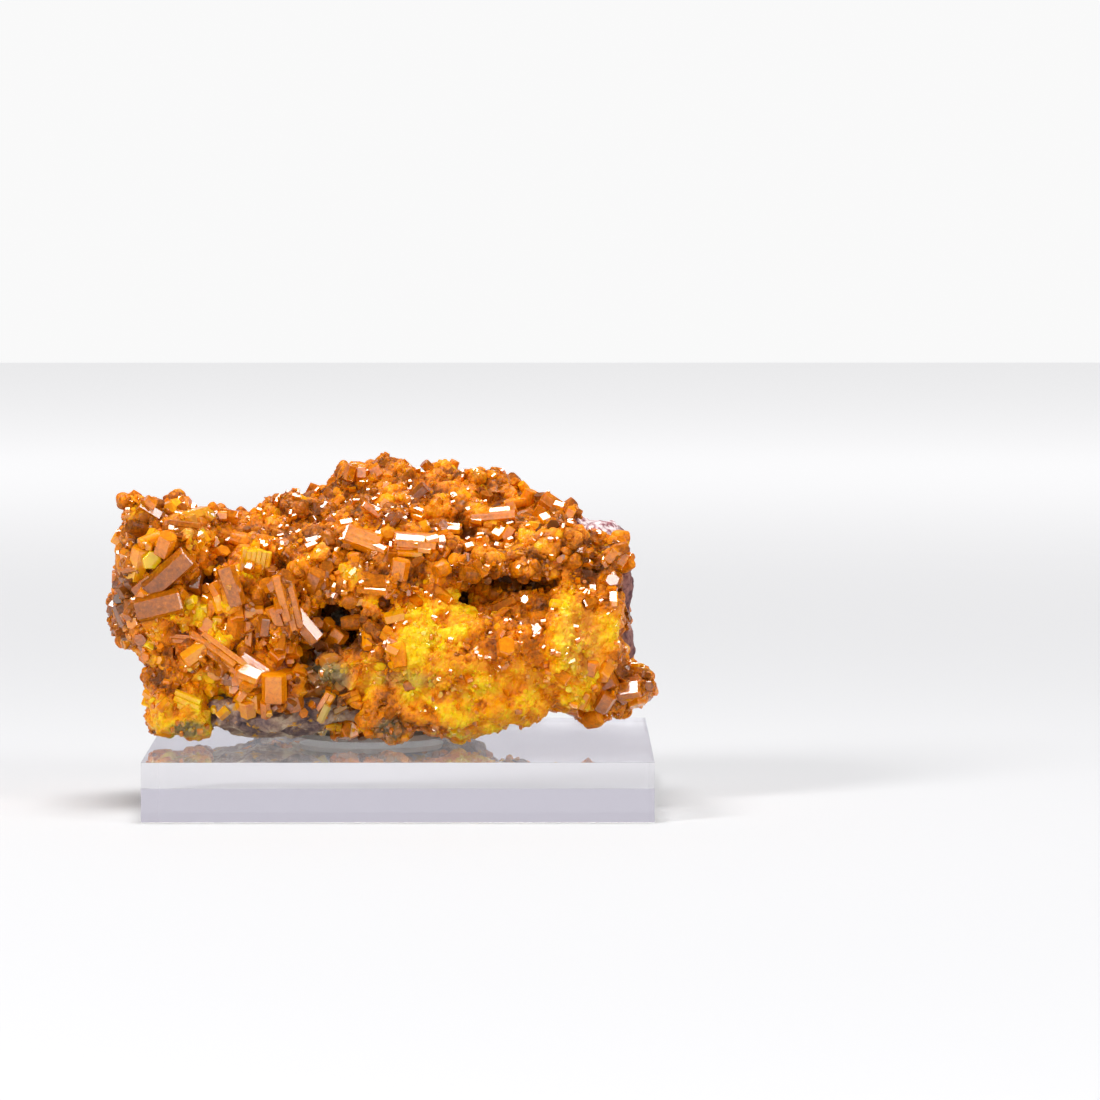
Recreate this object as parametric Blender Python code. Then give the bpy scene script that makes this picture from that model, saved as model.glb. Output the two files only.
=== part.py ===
"""Mimetite on matrix, resting on a clear acrylic display slab.

Hexagonal mimetite prisms grown together in one crust over a wedge of dark rock.
Lists are in millimetres and the meshes in metres; +X is right, +Y is away, +Z is up.
The origin is the middle of the slab's underside.
"""

import math
import random

import bmesh
import bpy
from mathutils import Matrix, Vector, noise

MM = 0.001

# Driving dimensions, in millimetres
SLAB_SIDE = 48.0
SLAB_HEIGHT = 5.6
SLAB_CHAMFER = 0.25
DOT_RADIUS = 7.0
DOT_HEIGHT = 0.5
DOT_RIM_SLOPE = 0.2
DOT_SEGMENTS = 32
DOT_CENTRE = (-3.0, 0.3)
GAP = 0.3

SLAB_TOP = SLAB_HEIGHT
REST_Z = SLAB_TOP + GAP

# How finely the two forms are meshed
CRUST_VOXEL = 0.5
CRUST_FACES = 1500
ROCK_VOXEL = 0.7
ROCK_FACES = 900
BALL_SUBDIVISIONS = 3

# Lumps of mimetite: centre x, y, z, half sizes along x, y, z, and squareness
# (2 is an ellipsoid, 4 and more is a block with round edges).
LEFT_BLOCK = [
    (-25.0, -2.0, 27.6, 1.9, 2.6, 1.8, 4),
    (-21.5, 0.0, 27.6, 2.5, 3.2, 2.1, 2),
    (-18.1, 0.0, 26.2, 2.8, 3.6, 2.3, 2),
    (-22.7, -1.0, 23.2, 4.6, 8.4, 5.2, 3),
    (-22.2, -1.0, 18.6, 5.3, 9.0, 4.6, 3),
    (-26.5, -1.5, 18.2, 1.9, 6.0, 3.2, 2),
    (-20.7, -2.0, 13.4, 4.4, 7.5, 4.4, 3),
    (-21.1, -4.2, 8.7, 3.2, 5.4, 3.0, 3),
    (-16.6, -6.0, 14.8, 4.2, 4.5, 4.2, 2),
    (-15.9, -6.0, 20.0, 3.8, 4.5, 4.0, 2),
    (-11.1, -6.3, 18.1, 3.2, 4.7, 4.4, 3),
    (-12.7, -7.0, 11.2, 3.8, 4.0, 2.7, 3),
]
UPPER_SLOPE = [
    (-14.9, 4.0, 25.2, 3.2, 5.5, 2.3, 2),
    (-13.2, 0.0, 24.2, 4.0, 6.5, 3.0, 2),
    (-8.8, -4.0, 23.0, 4.5, 5.6, 4.0, 2),
    (-10.0, 5.0, 26.6, 4.2, 5.6, 3.0, 2),
    (-6.8, -6.0, 20.6, 3.8, 4.0, 2.5, 2),
    (-3.0, -6.0, 22.2, 4.0, 4.5, 3.2, 2),
    (-3.1, 0.0, 25.6, 4.5, 5.2, 3.4, 2),
    (-3.4, -6.5, 17.4, 2.2, 3.6, 2.3, 4),
    (0.9, -4.0, 24.3, 4.0, 5.0, 3.0, 2),
    (0.0, -7.0, 21.4, 2.8, 3.5, 2.3, 2),
    (4.7, -5.0, 23.1, 4.0, 5.0, 2.8, 2),
    (8.5, -7.0, 23.4, 2.8, 4.0, 2.2, 2),
    (12.4, -6.0, 23.8, 3.4, 4.5, 2.5, 2),
    (15.9, -4.0, 24.0, 3.4, 5.0, 2.7, 3),
    (18.8, -2.8, 20.8, 2.6, 5.4, 4.6, 5),
    (1.7, 5.5, 27.2, 9.6, 6.2, 3.3, 2),
    (7.5, 3.5, 26.5, 6.0, 6.0, 3.0, 2),
    (12.4, 0.5, 25.4, 4.0, 5.6, 2.2, 3),
    (18.6, -2.4, 23.6, 2.8, 4.4, 2.2, 3),
]
RIDGE = [
    (-8.4, 8.0, 28.4, 2.4, 2.8, 1.8, 2),
    (-6.6, 8.0, 29.3, 1.9, 2.4, 1.7, 2),
    (-5.0, 8.0, 30.6, 2.0, 2.6, 1.9, 2),
    (-2.4, 8.0, 30.9, 2.1, 2.6, 1.9, 2),
    (-0.2, 7.5, 30.5, 1.9, 2.4, 1.9, 2),
    (2.0, 8.0, 30.0, 2.1, 2.6, 1.8, 2),
    (5.2, 8.0, 30.2, 2.5, 2.8, 2.0, 2),
    (8.1, 8.0, 30.2, 2.2, 2.6, 2.1, 2),
    (10.4, 7.0, 28.6, 2.0, 2.6, 2.1, 2),
    (13.6, 4.0, 27.4, 1.5, 2.4, 1.6, 2),
    (15.7, 2.0, 27.1, 1.8, 2.6, 1.6, 2),
]
YELLOW_MASS = [
    (2.3, -8.0, 18.8, 3.4, 4.0, 3.0, 2),
    (-0.6, -9.0, 15.0, 4.2, 3.8, 2.9, 2),
    (4.7, -9.0, 14.5, 4.6, 4.4, 4.4, 3),
    (10.0, -9.0, 15.0, 4.6, 3.8, 3.8, 2),
    (15.2, -8.0, 14.9, 4.4, 4.4, 4.6, 2),
    (18.9, -4.6, 16.4, 2.6, 5.6, 4.8, 5),
    (4.7, -8.0, 9.1, 5.0, 4.5, 3.3, 2),
    (9.5, -8.0, 10.3, 5.0, 4.4, 2.9, 2),
    (15.3, -6.0, 11.3, 5.0, 4.6, 2.3, 3),
    (20.6, -4.0, 11.3, 3.8, 4.6, 2.8, 2),
    (-0.9, -7.6, 9.4, 4.4, 4.0, 3.4, 2),
    (16.2, -7.0, 18.9, 3.8, 3.6, 2.6, 2),
    (10.5, -5.0, 19.0, 4.0, 3.4, 2.1, 2),
    (-5.3, -8.0, 13.0, 3.0, 3.6, 2.5, 2),
    (-6.0, -7.2, 9.0, 3.2, 3.0, 2.2, 3),
    (-8.4, -5.4, 14.8, 3.2, 3.8, 4.4, 2),
]
CRUST_LUMPS = LEFT_BLOCK + UPPER_SLOPE + RIDGE + YELLOW_MASS

# Hollows cut into the crust, in the same terms as the lumps
HOLLOWS = [
    (-6.2, -8.5, 17.2, 1.7, 6.5, 1.3, 2),
    (-8.3, -10.0, 14.6, 0.9, 3.5, 1.7, 2),
    (10.8, -9.5, 21.4, 4.6, 4.2, 0.8, 2),
    (1.0, -11.0, 19.6, 1.6, 1.6, 1.0, 2),
    (-6.1, -11.0, 8.5, 2.6, 3.0, 1.3, 3),
    (3.0, -13.2, 16.2, 1.1, 1.2, 1.5, 2),
    (-21.2, -10.0, 22.4, 1.0, 2.0, 0.7, 2),
    (-18.6, -9.2, 22.0, 0.9, 2.2, 0.8, 2),
    (8.3, 2.4, 28.9, 2.4, 2.4, 0.8, 2),
]

# The host rock
ROCK_LUMPS = [
    (-10.0, 1.6, 8.7, 9.2, 11.4, 1.7, 5),
    (-4.0, 7.0, 14.6, 14.3, 7.4, 8.9, 4),
    (11.5, 7.0, 17.2, 9.6, 7.4, 8.4, 4),
    (17.5, 3.5, 17.6, 4.2, 8.5, 8.7, 8),
    (15.8, 4.0, 24.9, 2.6, 3.5, 2.4, 2),
    (11.0, 8.0, 24.5, 6.0, 4.5, 3.3, 3),
    (-9.0, 9.5, 20.5, 7.0, 4.5, 5.0, 3),
    (-19.0, 4.8, 17.6, 4.8, 4.6, 7.4, 4),
    (-1.0, 10.0, 9.0, 9.0, 4.0, 3.2, 3),
]

# Large prisms seen on the front: centre x and z, width, length, lean of the axis
# in the picture plane from +X in degrees, and its tip towards the viewer.
LARGE_PRISMS = [
    (-24.7, 27.4, 3.4, 4.2, 88, 5),
    (-24.1, 26.0, 1.3, 1.7, 35, 20),
    (-21.4, 25.4, 2.6, 3.3, -5, 15),
    (-22.9, 24.5, 1.9, 2.3, 70, 30),
    (-22.6, 21.7, 2.3, 5.4, 42, 10),
    (-24.8, 20.2, 1.8, 2.4, 40, 20),
    (-23.5, 18.6, 2.5, 4.5, 14, 5),
    (-16.5, 20.5, 1.9, 3.9, 108, 0),
    (-20.5, 22.7, 1.0, 1.6, -45, 10),
    (-24.3, 24.1, 1.3, 1.5, 90, 20),
    (-14.2, 22.9, 2.8, 2.4, 80, 20),
    (-11.6, 19.3, 1.0, 4.6, 104, 10),
    (-10.7, 18.6, 1.3, 5.0, 104, 5),
    (-12.1, 17.0, 1.3, 3.2, 110, 10),
    (-8.5, 21.0, 1.8, 2.2, 70, 30),
    (-2.8, 20.8, 2.0, 4.0, -7, 3),
    (-7.3, 16.6, 1.3, 1.6, 60, 40),
    (-6.6, 15.1, 1.9, 2.8, 55, 15),
    (-22.0, 15.4, 1.8, 3.9, -4, 0),
    (-17.8, 14.0, 1.7, 5.2, -36, 5),
    (-14.9, 15.5, 0.9, 3.2, 86, 5),
    (-14.3, 12.3, 2.4, 3.4, -32, 25),
    (-12.3, 13.6, 1.8, 2.2, 60, 50),
    (-10.6, 14.0, 1.3, 1.7, 20, 30),
    (-9.5, 13.2, 1.5, 2.1, 70, 30),
    (-8.2, 14.0, 1.1, 1.6, 50, 5),
    (-12.4, 10.6, 2.4, 2.8, 90, 10),
    (-20.2, 9.2, 1.6, 2.8, -20, 20),
    (-3.9, 25.0, 2.2, 3.6, -20, 0),
    (-0.9, 26.4, 1.8, 2.6, 55, 20),
    (1.2, 25.3, 0.9, 3.9, -4, 0),
    (1.4, 24.5, 0.9, 3.7, -4, 0),
    (3.5, 25.4, 0.9, 2.0, 15, 0),
    (4.9, 26.1, 1.0, 1.8, -5, 0),
    (-0.2, 22.1, 2.0, 2.0, 80, 40),
    (1.3, 22.8, 0.9, 1.9, 40, 0),
    (-2.9, 27.9, 0.8, 2.0, -35, 0),
    (1.5, 27.7, 1.0, 1.7, -25, 0),
    (8.8, 27.2, 1.0, 4.3, 5, 0),
    (10.2, 25.7, 0.7, 2.8, 25, 10),
    (9.0, 25.6, 0.7, 2.2, 80, 15),
    (13.7, 28.0, 1.6, 2.4, 60, 10),
    (7.6, 22.2, 0.9, 1.8, -55, 10),
    (10.3, 20.5, 1.6, 2.8, -8, 10),
    (9.9, 18.7, 1.0, 2.3, 25, 5),
    (17.6, 23.3, 1.0, 1.8, 70, 20),
    (20.4, 23.5, 1.1, 1.6, 50, 20),
    (20.2, 19.6, 1.1, 1.8, 80, 20),
    (10.0, 14.5, 2.4, 1.8, 90, 75),
    (18.4, 12.5, 1.2, 1.5, 80, 20),
    (15.4, 11.8, 1.3, 2.0, -35, 20),
    (19.8, 11.0, 1.6, 2.0, 30, 20),
    (22.3, 10.9, 1.8, 2.4, 10, 20),
    (19.6, 9.2, 1.6, 2.0, 60, 20),
    (-1.2, 15.6, 1.5, 2.0, -30, 20),
    (3.8, 19.8, 1.0, 2.3, -40, 10),
    (0.9, 10.9, 1.2, 1.4, 20, 40),
    (-7.4, 9.2, 1.0, 2.4, 60, 20),
    (-5.2, 9.6, 1.0, 2.0, 20, 20),
]

# Smaller prisms scattered over every open side of the crust
SCATTER_SEED = 11
SCATTER_PER_SQUARE_MM = 0.015
SCATTER_WIDTH = (0.9, 1.9)
SCATTER_STRETCH = (1.0, 1.8)
SCATTER_SPREAD_DEG = 50.0
PRISM_SINK = 0.18
SCATTER_SINK = 0.25

COLOURS = {
    "display_slab": ((0.93, 0.93, 0.95, 1.0), 0.04, 1.0),
    "tack_dot": ((0.90, 0.88, 0.84, 1.0), 0.15, 1.0),
    "matrix": ((0.17, 0.10, 0.09, 1.0), 0.8, 0.0),
    "mimetite_crust": ((0.80, 0.33, 0.02, 1.0), 0.18, 0.0),
}


def clear_scene():
    for thing in list(bpy.data.objects):
        bpy.data.objects.remove(thing, do_unlink=True)


def link(name, mesh):
    """A new object in the scene that shows this mesh."""
    thing = bpy.data.objects.new(name, mesh)
    bpy.context.scene.collection.objects.link(thing)
    return thing


def helper(name, mesh):
    """An object that only cuts or guides."""
    thing = link(name, mesh)
    thing.hide_render = True
    thing.display_type = "WIRE"
    return thing


def finish_piece(thing):
    """Gives a piece its own plain material."""
    colour, roughness, see_through = COLOURS[thing.name]
    material = bpy.data.materials.new(thing.name)
    material.use_nodes = True
    shader = material.node_tree.nodes["Principled BSDF"]
    shader.inputs["Base Color"].default_value = colour
    shader.inputs["Roughness"].default_value = roughness
    shader.inputs["Metallic"].default_value = 0.0
    shader.inputs["Transmission Weight"].default_value = see_through
    thing.data.materials.clear()
    thing.data.materials.append(material)


def baked(thing):
    """The object's mesh with its modifiers applied."""
    graph = bpy.context.evaluated_depsgraph_get()
    graph.update()
    mesh = bpy.data.meshes.new_from_object(thing.evaluated_get(graph))
    thing.modifiers.clear()
    thing.data = mesh
    return mesh


def super_radius(direction, squareness):
    """How far the unit superellipsoid reaches along a direction."""
    total = sum(abs(part) ** squareness for part in direction)
    return total ** (-1.0 / squareness)


def lumps_mesh(name, lumps):
    """One mesh that holds a closed, rounded solid for each lump."""
    joined = bmesh.new()
    for x, y, z, half_x, half_y, half_z, squareness in lumps:
        made = bmesh.ops.create_icosphere(joined, subdivisions=BALL_SUBDIVISIONS, radius=1.0)
        for vertex in made["verts"]:
            way = vertex.co.normalized()
            point = way * super_radius(way, squareness)
            vertex.co = Vector(
                (x + half_x * point.x, y + half_y * point.y, z + half_z * point.z)
            ) * MM
    mesh = bpy.data.meshes.new(name)
    joined.to_mesh(mesh)
    joined.free()
    return mesh


def fused(thing, voxel):
    """Joins the lumps of an object in one closed skin."""
    remesh = thing.modifiers.new("fuse", "REMESH")
    remesh.mode = "VOXEL"
    remesh.voxel_size = voxel * MM
    baked(thing)


def roughen(mesh, scale, height, offset):
    """Moves each vertex along its normal by smooth noise of that scale and height, in millimetres."""
    normals = [Vector(vertex.normal) for vertex in mesh.vertices]
    for vertex, normal in zip(mesh.vertices, normals):
        spot = vertex.co / (scale * MM) + Vector((offset, offset, offset))
        vertex.co += normal * (noise.fractal(spot, 1.0, 2.0, 3) * height * MM)


def decimate(thing, faces):
    """Brings a mesh down to about this many triangles."""
    sides = sum(len(polygon.vertices) - 2 for polygon in thing.data.polygons)
    reduce = thing.modifiers.new("reduce", "DECIMATE")
    reduce.ratio = min(1.0, faces / sides)
    baked(thing)


def boolean(thing, operation, other):
    change = thing.modifiers.new(operation.lower(), "BOOLEAN")
    change.operation = operation
    change.solver = "EXACT"
    change.use_self = operation == "UNION"
    change.object = other
    baked(thing)


def keep_largest(mesh):
    """Deletes the crumbs that a cut leaves, so that one body stays."""
    work = bmesh.new()
    work.from_mesh(mesh)
    islands, seen = [], set()
    for start in work.verts:
        if start in seen:
            continue
        island, waiting = [], [start]
        seen.add(start)
        while waiting:
            vertex = waiting.pop()
            island.append(vertex)
            for edge in vertex.link_edges:
                near = edge.other_vert(vertex)
                if near not in seen:
                    seen.add(near)
                    waiting.append(near)
        islands.append(island)
    islands.sort(key=len, reverse=True)
    for crumb in islands[1:]:
        bmesh.ops.delete(work, geom=crumb, context="VERTS")
    work.to_mesh(mesh)
    work.free()


def front_of(lumps, x, z):
    """The nearest y at which a line of sight along +Y meets the lumps, or None where it misses."""
    nearest = None
    for cx, cy, cz, half_x, half_y, half_z, squareness in lumps:
        inside = 1.0 - abs((x - cx) / half_x) ** squareness - abs((z - cz) / half_z) ** squareness
        if inside > 0.0:
            y = cy - half_y * inside ** (1.0 / squareness)
            nearest = y if nearest is None else min(nearest, y)
    return nearest


def buried(point, lumps, margin):
    """Whether a point lies inside any lump, by more than a share of its size."""
    for cx, cy, cz, half_x, half_y, half_z, squareness in lumps:
        reach = (
            abs((point.x - cx) / half_x) ** squareness
            + abs((point.y - cy) / half_y) ** squareness
            + abs((point.z - cz) / half_z) ** squareness
        )
        if reach ** (1.0 / squareness) < margin:
            return True
    return False


def add_prism(work, centre, axis, width, length, turn):
    """A closed hexagonal prism with flat ends, widest across its corners."""
    upright = Vector((0, 0, 1)).rotation_difference(axis).to_matrix().to_4x4()
    place = Matrix.Translation(centre * MM) @ upright @ Matrix.Rotation(turn, 4, "Z")
    bmesh.ops.create_cone(
        work,
        cap_ends=True,
        segments=6,
        radius1=width / 2 * MM,
        radius2=width / 2 * MM,
        depth=length * MM,
        matrix=place,
    )


def axis_from(lean, tip):
    """The unit axis that leans in the picture plane and tips towards the viewer, in degrees."""
    lean, tip = math.radians(lean), math.radians(tip)
    return Vector((math.cos(lean) * math.cos(tip), -math.sin(tip), math.sin(lean) * math.cos(tip)))


def add_large_prisms(work):
    for x, z, width, length, lean, tip in LARGE_PRISMS:
        front = front_of(CRUST_LUMPS, x, z)
        axis = axis_from(lean, tip)
        reach = abs(axis.y) * length / 2 + width / 2 * math.sqrt(1 - axis.y * axis.y)
        centre = Vector((x, front + reach * PRISM_SINK, z))
        add_prism(work, centre, axis, width, length, math.radians(30))


def add_scattered_prisms(work):
    """Prisms on each lump's open surface, pointing outwards with some spread."""
    rng = random.Random(SCATTER_SEED)
    for index, lump in enumerate(CRUST_LUMPS):
        cx, cy, cz, half_x, half_y, half_z, squareness = lump
        others = CRUST_LUMPS[:index] + CRUST_LUMPS[index + 1 :]
        area = 4 * math.pi * ((half_x * half_y + half_y * half_z + half_z * half_x) / 3)
        for _ in range(round(area * SCATTER_PER_SQUARE_MM)):
            way = Vector((rng.gauss(0, 1), rng.gauss(0, 1), rng.gauss(0, 1))).normalized()
            on_unit = way * super_radius(way, squareness)
            spot = Vector((cx + half_x * on_unit.x, cy + half_y * on_unit.y, cz + half_z * on_unit.z))
            outwards = Vector((way.x / half_x, way.y / half_y, way.z / half_z)).normalized()
            width = rng.uniform(*SCATTER_WIDTH)
            length = width * rng.uniform(*SCATTER_STRETCH)
            swing = math.radians(rng.uniform(0, SCATTER_SPREAD_DEG))
            side = outwards.orthogonal().normalized()
            side.rotate(Matrix.Rotation(rng.uniform(0, 2 * math.pi), 3, outwards))
            axis = (outwards * math.cos(swing) + side * math.sin(swing)).normalized()
            turn = rng.uniform(0, math.pi / 3)
            if buried(spot, others, 1.0) or buried(spot, ROCK_LUMPS, 1.12):
                continue
            if spot.z < REST_Z + 1.0:
                continue
            add_prism(work, spot - outwards * length * SCATTER_SINK, axis, width, length, turn)


def prisms_mesh():
    work = bmesh.new()
    add_large_prisms(work)
    add_scattered_prisms(work)
    mesh = bpy.data.meshes.new("prisms")
    work.to_mesh(mesh)
    work.free()
    return mesh


def add_disc(work, radius, bottom, top, rim_slope):
    """A round disc on the dot's centre whose rim narrows by the slope towards its top."""
    x, y = DOT_CENTRE
    bmesh.ops.create_cone(
        work,
        cap_ends=True,
        segments=DOT_SEGMENTS,
        radius1=radius * MM,
        radius2=(radius - rim_slope) * MM,
        depth=(top - bottom) * MM,
        matrix=Matrix.Translation(Vector((x, y, (bottom + top) / 2)) * MM),
    )


def clearance_block():
    """Everything under the level that the specimen rests at."""
    work = bmesh.new()
    bmesh.ops.create_cube(work, size=1.0)
    side, depth = 3 * SLAB_SIDE, SLAB_SIDE
    bmesh.ops.scale(work, vec=(side * MM, side * MM, depth * MM), verts=work.verts)
    bmesh.ops.translate(work, vec=(0, 0, (REST_Z - depth / 2) * MM), verts=work.verts)
    mesh = bpy.data.meshes.new("clearance")
    work.to_mesh(mesh)
    work.free()
    return helper("clearance", mesh)


def dot_room():
    """The dot with the gap all round it, which the specimen leaves free."""
    work = bmesh.new()
    add_disc(work, DOT_RADIUS + GAP, SLAB_TOP, REST_Z + DOT_HEIGHT + GAP, 0.0)
    mesh = bpy.data.meshes.new("dot_room")
    work.to_mesh(mesh)
    work.free()
    return helper("dot_room", mesh)


def make_slab():
    work = bmesh.new()
    bmesh.ops.create_cube(work, size=1.0)
    size = (SLAB_SIDE * MM, SLAB_SIDE * MM, SLAB_HEIGHT * MM)
    bmesh.ops.scale(work, vec=size, verts=work.verts)
    bmesh.ops.translate(work, vec=(0, 0, SLAB_HEIGHT / 2 * MM), verts=work.verts)
    bmesh.ops.bevel(
        work, geom=work.edges[:], offset=SLAB_CHAMFER * MM, segments=1, affect="EDGES"
    )
    mesh = bpy.data.meshes.new("display_slab")
    work.to_mesh(mesh)
    work.free()
    finish_piece(link("display_slab", mesh))


def make_dot():
    work = bmesh.new()
    add_disc(work, DOT_RADIUS, REST_Z, REST_Z + DOT_HEIGHT, DOT_RIM_SLOPE)
    mesh = bpy.data.meshes.new("tack_dot")
    work.to_mesh(mesh)
    work.free()
    finish_piece(link("tack_dot", mesh))


def make_rock(clearance, room):
    rock = link("matrix", lumps_mesh("matrix", ROCK_LUMPS))
    fused(rock, ROCK_VOXEL)
    roughen(rock.data, 5.0, 1.1, 3.0)
    decimate(rock, ROCK_FACES)
    boolean(rock, "DIFFERENCE", clearance)
    boolean(rock, "DIFFERENCE", room)
    keep_largest(rock.data)
    finish_piece(rock)
    return rock


def grown(rock):
    """A copy of the rock that is larger all round by the gap."""
    cutter = helper("rock_cutter", rock.data.copy())
    swell = cutter.modifiers.new("swell", "DISPLACE")
    swell.strength = GAP * MM
    swell.mid_level = 0.0
    baked(cutter)
    return cutter


def make_crust(rock, clearance, room):
    crust = link("mimetite_crust", lumps_mesh("mimetite_crust", CRUST_LUMPS))
    fused(crust, CRUST_VOXEL)
    roughen(crust.data, 2.5, 0.35, 7.0)
    decimate(crust, CRUST_FACES)
    hollows = helper("hollows", lumps_mesh("hollows", HOLLOWS))
    boolean(crust, "DIFFERENCE", hollows)
    prisms = helper("prisms", prisms_mesh())
    boolean(crust, "UNION", prisms)
    boolean(crust, "DIFFERENCE", grown(rock))
    boolean(crust, "DIFFERENCE", clearance)
    boolean(crust, "DIFFERENCE", room)
    keep_largest(crust.data)
    finish_piece(crust)


def main():
    clear_scene()
    make_slab()
    make_dot()
    clearance = clearance_block()
    room = dot_room()
    rock = make_rock(clearance, room)
    make_crust(rock, clearance, room)


main()
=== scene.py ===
import math

import bmesh
import bpy
import numpy as np
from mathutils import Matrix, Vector, kdtree, noise
from mathutils.bvhtree import BVHTree


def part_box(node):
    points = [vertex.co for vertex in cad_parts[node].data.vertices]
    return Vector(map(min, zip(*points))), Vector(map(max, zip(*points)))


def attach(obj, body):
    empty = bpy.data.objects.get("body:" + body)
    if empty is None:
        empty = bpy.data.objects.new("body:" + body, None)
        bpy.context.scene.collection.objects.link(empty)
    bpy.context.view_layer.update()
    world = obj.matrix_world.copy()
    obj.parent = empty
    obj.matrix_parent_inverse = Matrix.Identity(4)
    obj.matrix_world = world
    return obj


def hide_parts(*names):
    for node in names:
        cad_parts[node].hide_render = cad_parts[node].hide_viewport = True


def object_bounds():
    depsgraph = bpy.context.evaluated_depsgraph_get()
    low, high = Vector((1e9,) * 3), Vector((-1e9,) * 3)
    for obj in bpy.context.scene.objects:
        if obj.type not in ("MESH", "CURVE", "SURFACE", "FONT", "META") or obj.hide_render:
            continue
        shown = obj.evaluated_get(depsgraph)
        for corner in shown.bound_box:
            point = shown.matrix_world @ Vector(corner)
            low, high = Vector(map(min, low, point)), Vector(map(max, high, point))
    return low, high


# Lists are in millimetres and meshes in metres, in the frame's own axes:
# +X is right, +Y is away from the camera, +Z is up.
MM = 0.001

# Camera: worked out from the slab's perspective in the photograph
IMAGE_SIDE_PX = 1100
SENSOR_MM = 36.0
CAMERA_PLACE = (11.8, -657.0, 65.2)
FOCAL_PX = 6791.0
AIM_RIGHT_PX = 26.0
AIM_DOWN_PX = 426.0

# Large prisms, as in the solids: centre x and z, width, length, lean of the axis
# from +X in degrees, its tip towards the viewer, how many grow side by side,
# and tone (0 is dark brown, 1 is yellow).
LARGE_PRISMS = [
    (-24.1, 26.0, 1.3, 1.7, 35, 20, 1, 0.25),
    (-21.4, 25.4, 2.6, 3.3, -5, 15, 5, 0.35),
    (-22.9, 24.5, 1.9, 2.3, 70, 30, 1, 0.50),
    (-22.6, 21.7, 2.3, 5.4, 42, 10, 1, 0.30),
    (-24.8, 20.2, 1.8, 2.4, 40, 20, 2, 0.35),
    (-23.5, 18.6, 2.5, 4.5, 14, 5, 1, 0.32),
    (-16.5, 20.5, 1.9, 3.9, 108, 0, 1, 0.34),
    (-20.5, 22.7, 1.0, 1.6, -45, 10, 1, 0.40),
    (-24.3, 24.1, 1.3, 1.5, 90, 20, 1, 0.85),
    (-14.2, 22.9, 2.8, 2.4, 80, 20, 6, 0.85),
    (-11.6, 19.3, 1.0, 4.6, 104, 10, 1, 0.50),
    (-10.7, 18.6, 1.3, 5.0, 104, 5, 2, 0.45),
    (-12.1, 17.0, 1.3, 3.2, 110, 10, 1, 0.50),
    (-8.5, 21.0, 1.8, 2.2, 70, 30, 1, 0.35),
    (-2.8, 20.8, 2.0, 4.0, -7, 3, 1, 0.40),
    (-7.3, 16.6, 1.3, 1.6, 60, 40, 1, 0.45),
    (-6.6, 15.1, 1.9, 2.8, 55, 15, 1, 0.40),
    (-22.0, 15.4, 1.8, 3.9, -4, 0, 4, 0.50),
    (-17.8, 14.0, 1.7, 5.2, -36, 5, 3, 0.50),
    (-14.9, 15.5, 0.9, 3.2, 86, 5, 1, 0.55),
    (-14.3, 12.3, 2.4, 3.4, -32, 25, 1, 0.40),
    (-12.3, 13.6, 1.8, 2.2, 60, 50, 1, 0.50),
    (-10.6, 14.0, 1.3, 1.7, 20, 30, 1, 0.50),
    (-9.5, 13.2, 1.5, 2.1, 70, 30, 1, 0.45),
    (-8.2, 14.0, 1.1, 1.6, 50, 5, 1, 0.30),
    (-12.4, 10.6, 2.4, 2.8, 90, 10, 1, 0.60),
    (-21.0, 9.2, 1.6, 2.8, -20, 20, 3, 0.95),
    (-3.9, 25.0, 2.2, 3.6, -20, 0, 1, 0.50),
    (-0.9, 26.4, 1.8, 2.6, 55, 20, 3, 0.20),
    (1.2, 25.3, 0.9, 3.9, -4, 0, 1, 0.50),
    (1.4, 24.5, 0.9, 3.7, -4, 0, 1, 0.50),
    (3.5, 25.4, 0.9, 2.0, 15, 0, 1, 0.50),
    (4.9, 26.1, 1.0, 1.8, -5, 0, 1, 0.50),
    (-0.2, 22.1, 1.8, 2.0, 80, 10, 1, 0.50),
    (1.3, 22.8, 0.9, 1.9, 40, 0, 1, 0.35),
    (-2.9, 27.9, 0.8, 2.0, -35, 0, 1, 0.50),
    (1.5, 27.7, 1.0, 1.7, -25, 0, 1, 0.50),
    (8.8, 27.2, 1.0, 4.3, 5, 0, 1, 0.50),
    (10.2, 25.7, 0.7, 2.8, 25, 10, 2, 0.30),
    (9.0, 25.6, 0.7, 2.2, 80, 15, 2, 0.30),
    (13.7, 28.0, 1.6, 2.4, 60, 10, 1, 0.45),
    (7.6, 22.2, 0.9, 1.8, -55, 10, 1, 0.35),
    (10.3, 20.5, 1.6, 2.8, -8, 10, 1, 0.35),
    (9.9, 18.7, 1.0, 2.3, 25, 5, 1, 0.30),
    (17.6, 23.3, 1.0, 1.8, 70, 20, 1, 0.40),
    (20.4, 23.5, 1.1, 1.6, 50, 20, 1, 0.45),
    (20.2, 19.6, 1.1, 1.8, 80, 20, 1, 0.40),
    (10.0, 14.5, 1.9, 1.4, 60, 62, 1, 0.60),
    (18.4, 12.5, 1.2, 1.5, 80, 20, 1, 0.40),
    (15.4, 11.8, 1.3, 2.0, -35, 20, 1, 0.40),
    (19.8, 11.0, 1.6, 2.0, 30, 20, 1, 0.35),
    (22.0, 10.4, 1.8, 2.4, 10, 20, 1, 0.45),
    (19.6, 9.2, 1.6, 2.0, 60, 20, 1, 0.35),
    (-1.2, 15.6, 1.5, 2.0, -30, 20, 2, 0.60),
    (3.8, 19.8, 1.0, 2.3, -40, 10, 1, 0.60),
    (0.9, 10.9, 1.2, 1.4, 20, 40, 1, 0.40),
    (-7.4, 9.2, 1.0, 2.4, 60, 20, 2, 0.60),
    (-5.2, 9.6, 1.0, 2.0, 20, 20, 2, 0.60),
]

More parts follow.
